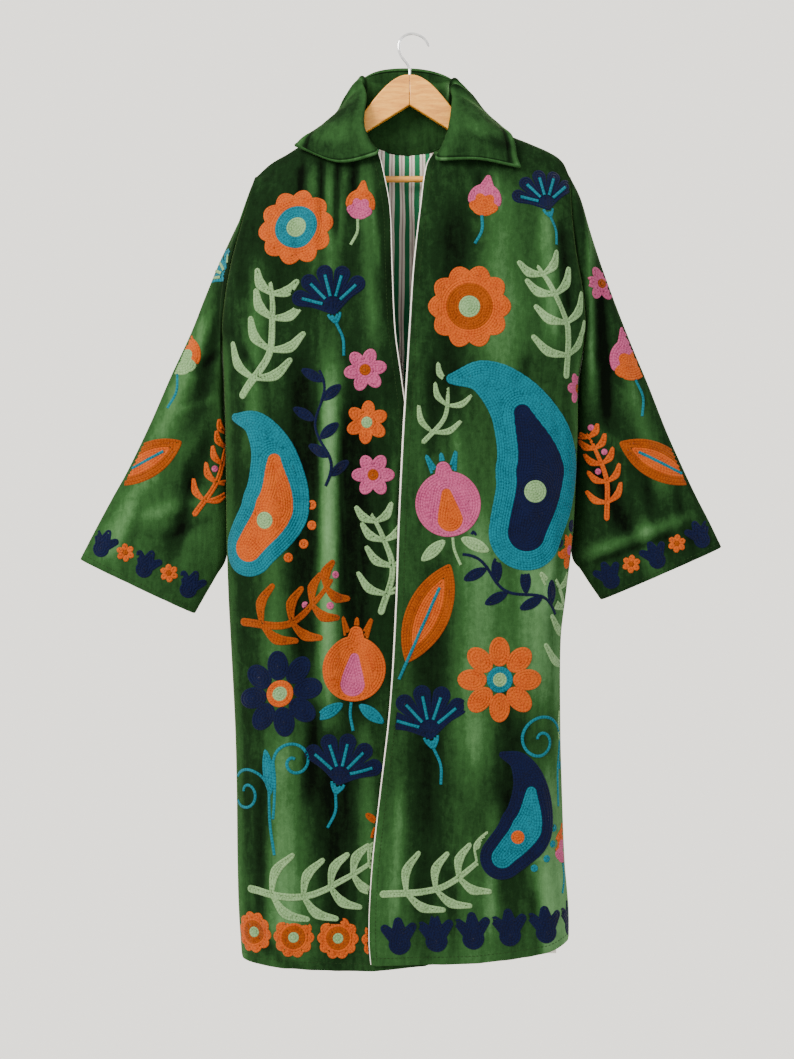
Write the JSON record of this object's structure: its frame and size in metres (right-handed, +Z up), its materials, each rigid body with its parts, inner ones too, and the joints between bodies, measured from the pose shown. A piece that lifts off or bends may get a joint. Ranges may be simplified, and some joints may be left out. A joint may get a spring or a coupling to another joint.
{
  "type": "embroidered velvet coat on a hanger",
  "caption": "Long open-front velvet coat with a rolled collar, wide sleeves and raised embroidery, hanging on a wooden hanger with a chrome hook.",
  "frame": {"origin": "the inside of the hook's bend, where the hanger hangs", "axes": "+Z up, +Y from the coat's front to its back, +X towards the wearer's left"},
  "size_m": [0.849, 0.0907, 1.2369],
  "materials": {
    "velvet": "cotton velvet, short pile, brushed unevenly",
    "striped_lining": "plain-woven cotton, green and off-white stripes",
    "white_cotton": "matte cotton",
    "embroidery": "chain-stitched cotton and wool thread in several colours",
    "hanger_wood": "satin varnish",
    "hook_chrome": "polished plating"
  },
  "bodies": {
    "root": {"back": "velvet", "left_front": "velvet", "right_front": "velvet", "left_sleeve": "velvet", "right_sleeve": "velvet", "collar": "velvet", "back_lining": "striped_lining", "left_front_piping": "white_cotton", "right_front_piping": "white_cotton", "label_tab": "white_cotton", "hanger_wood": "hanger_wood", "hanger_bar": "hanger_wood", "hanger_hook": "hook_chrome"}
  },
  "joints": []
}
